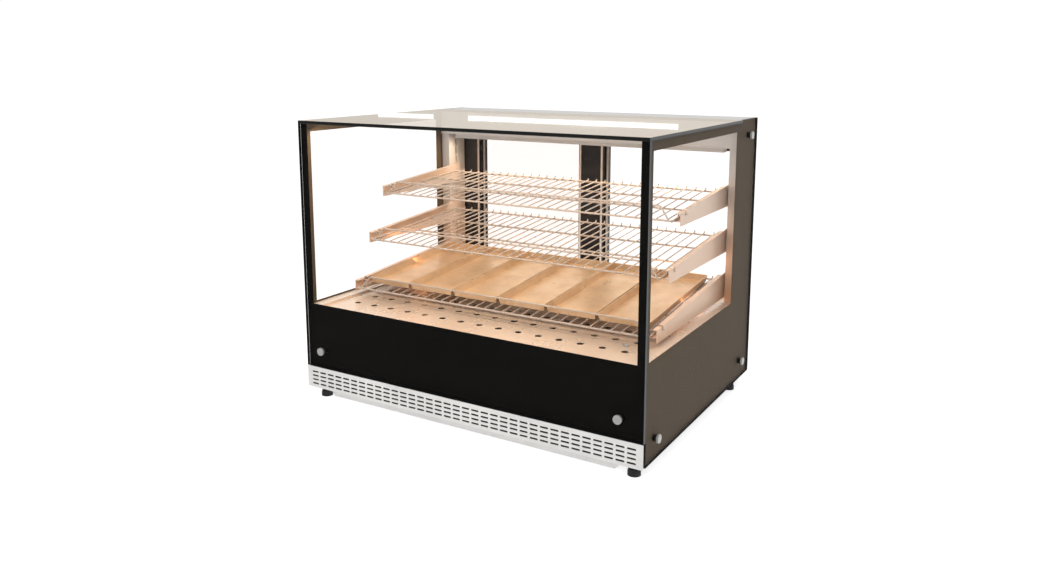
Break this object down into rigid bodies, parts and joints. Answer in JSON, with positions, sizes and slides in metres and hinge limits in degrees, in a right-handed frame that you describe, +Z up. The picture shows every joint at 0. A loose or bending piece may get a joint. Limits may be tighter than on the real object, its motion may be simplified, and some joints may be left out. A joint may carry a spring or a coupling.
{
  "type": "hot food display case",
  "caption": "Countertop heated display case with glass front, sides and top, wire shelves, trays, warm deck and sliding rear doors.",
  "frame": {"origin": "middle of the overall footprint on the counter, under the feet", "axes": "+Z up, +X right seen from the customer side, +Y towards the staff side"},
  "size_m": [0.916, 0.694, 0.685],
  "materials": {
    "stainless": "brushed",
    "wire_steel": "bright",
    "chassis_steel": "satin",
    "header_metal": "satin",
    "clear_glass": "polished",
    "black_print": "enamel behind glass",
    "silicone": "satin",
    "cap_steel": "satin",
    "collar_plastic": "matte",
    "track_plastic": "satin",
    "door_black": "gloss",
    "led_aluminium": "anodised",
    "led_diffuser": "frosted",
    "tray_metal": "satin",
    "foot_rubber": "matte",
    "heater_sheath": "oxidised",
    "mineral_wool": "fibrous",
    "motor_metal": "satin",
    "impeller_metal": "as rolled",
    "control_plastic": "fine texture",
    "display_lens": "tinted",
    "button_plastic": "satin",
    "rocker_plastic": "gloss"
  },
  "bodies": {
    "cabinet": {"vent_grille": "stainless", "lower_lip": "stainless", "deck": "stainless", "left_post": "stainless", "right_post": "stainless", "air_box": "stainless", "top_arm_left": "stainless", "top_arm_right": "stainless", "middle_arm_left": "stainless", "middle_arm_right": "stainless", "bottom_arm_left": "stainless", "bottom_arm_right": "stainless", "chassis": "chassis_steel", "rear_panel": "chassis_steel", "rear_header": "header_metal", "front_glass": "clear_glass", "left_glass": "clear_glass", "right_glass": "clear_glass", "top_glass": "clear_glass", "front_print": "black_print", "left_print": "black_print", "right_print": "black_print", "glass_joints": "silicone", "stud_caps": "cap_steel", "stud_collars": "collar_plastic", "upper_track": "track_plastic", "lower_track": "track_plastic", "led_housing": "led_aluminium", "led_lens": "led_diffuser", "heater_elements": "heater_sheath", "insulation": "mineral_wool", "fan_motor": "motor_metal", "fan_guard": "motor_metal", "controller_body": "control_plastic", "switch_housings": "control_plastic", "cord_gland": "control_plastic", "controller_lens": "display_lens"},
    "top_shelf_body": {"top_shelf": "wire_steel"},
    "middle_shelf_body": {"middle_shelf": "wire_steel"},
    "bottom_shelf_body": {"bottom_shelf": "wire_steel", "tray_1": "tray_metal", "tray_2": "tray_metal", "tray_3": "tray_metal", "tray_4": "tray_metal", "tray_5": "tray_metal", "tray_6": "tray_metal"},
    "left_door": {"door_left_frame": "door_black", "door_left_glass": "clear_glass"},
    "right_door": {"door_right_frame": "door_black", "door_right_glass": "clear_glass"},
    "fan_wheel": {"fan_impeller": "impeller_metal"},
    "foot_front_left_body": {"foot_front_left": "foot_rubber"},
    "foot_front_right_body": {"foot_front_right": "foot_rubber"},
    "foot_rear_left_body": {"foot_rear_left": "foot_rubber"},
    "foot_rear_right_body": {"foot_rear_right": "foot_rubber"},
    "set_button": {"button_set": "button_plastic"},
    "up_button": {"button_up": "button_plastic"},
    "down_button": {"button_down": "button_plastic"},
    "power_rocker": {"rocker_power": "rocker_plastic"},
    "light_rocker": {"rocker_light": "rocker_plastic"}
  },
  "joints": [
    {"name": "top_shelf_lift", "type": "slide", "parent": "cabinet", "child": "top_shelf_body", "axis": [0, 0, 1], "range_m": [0, 0.03]},
    {"name": "middle_shelf_lift", "type": "slide", "parent": "cabinet", "child": "middle_shelf_body", "axis": [0, 0, 1], "range_m": [0, 0.03]},
    {"name": "bottom_shelf_lift", "type": "slide", "parent": "cabinet", "child": "bottom_shelf_body", "axis": [0, 0, 1], "range_m": [0, 0.03]},
    {"name": "left_door_slide", "type": "slide", "parent": "cabinet", "child": "left_door", "axis": [1, 0, 0], "range_m": [0, 0.39]},
    {"name": "right_door_slide", "type": "slide", "parent": "cabinet", "child": "right_door", "axis": [1, 0, 0], "range_m": [0, 0.39]},
    {"name": "fan_spin", "type": "hinge", "parent": "cabinet", "child": "fan_wheel", "pos_m": [0, -0.036, 0.17], "axis": [0, 0, 1], "continuous": true},
    {"name": "foot_front_left_turn", "type": "hinge", "parent": "cabinet", "child": "foot_front_left_body", "pos_m": [-0.418, -0.305, 0.02], "axis": [0, 0, 1], "continuous": true},
    {"name": "foot_front_right_turn", "type": "hinge", "parent": "cabinet", "child": "foot_front_right_body", "pos_m": [0.418, -0.305, 0.02], "axis": [0, 0, 1], "continuous": true},
    {"name": "foot_rear_left_turn", "type": "hinge", "parent": "cabinet", "child": "foot_rear_left_body", "pos_m": [-0.428, 0.252, 0.02], "axis": [0, 0, 1], "continuous": true},
    {"name": "foot_rear_right_turn", "type": "hinge", "parent": "cabinet", "child": "foot_rear_right_body", "pos_m": [0.428, 0.252, 0.02], "axis": [0, 0, 1], "continuous": true},
    {"name": "set_press", "type": "slide", "parent": "cabinet", "child": "set_button", "axis": [0, -1, 0], "range_m": [0, 0.001], "stiffness_N_per_m": 400, "springref_m": -0.0005},
    {"name": "up_press", "type": "slide", "parent": "cabinet", "child": "up_button", "axis": [0, -1, 0], "range_m": [0, 0.001], "stiffness_N_per_m": 400, "springref_m": -0.0005},
    {"name": "down_press", "type": "slide", "parent": "cabinet", "child": "down_button", "axis": [0, -1, 0], "range_m": [0, 0.001], "stiffness_N_per_m": 400, "springref_m": -0.0005},
    {"name": "power_rock", "type": "hinge", "parent": "cabinet", "child": "power_rocker", "pos_m": [0.175, 0.331, 0.175], "axis": [1, 0, 0], "range_deg": [0, 14]},
    {"name": "light_rock", "type": "hinge", "parent": "cabinet", "child": "light_rocker", "pos_m": [0.145, 0.331, 0.175], "axis": [1, 0, 0], "range_deg": [0, 14]}
  ]
}
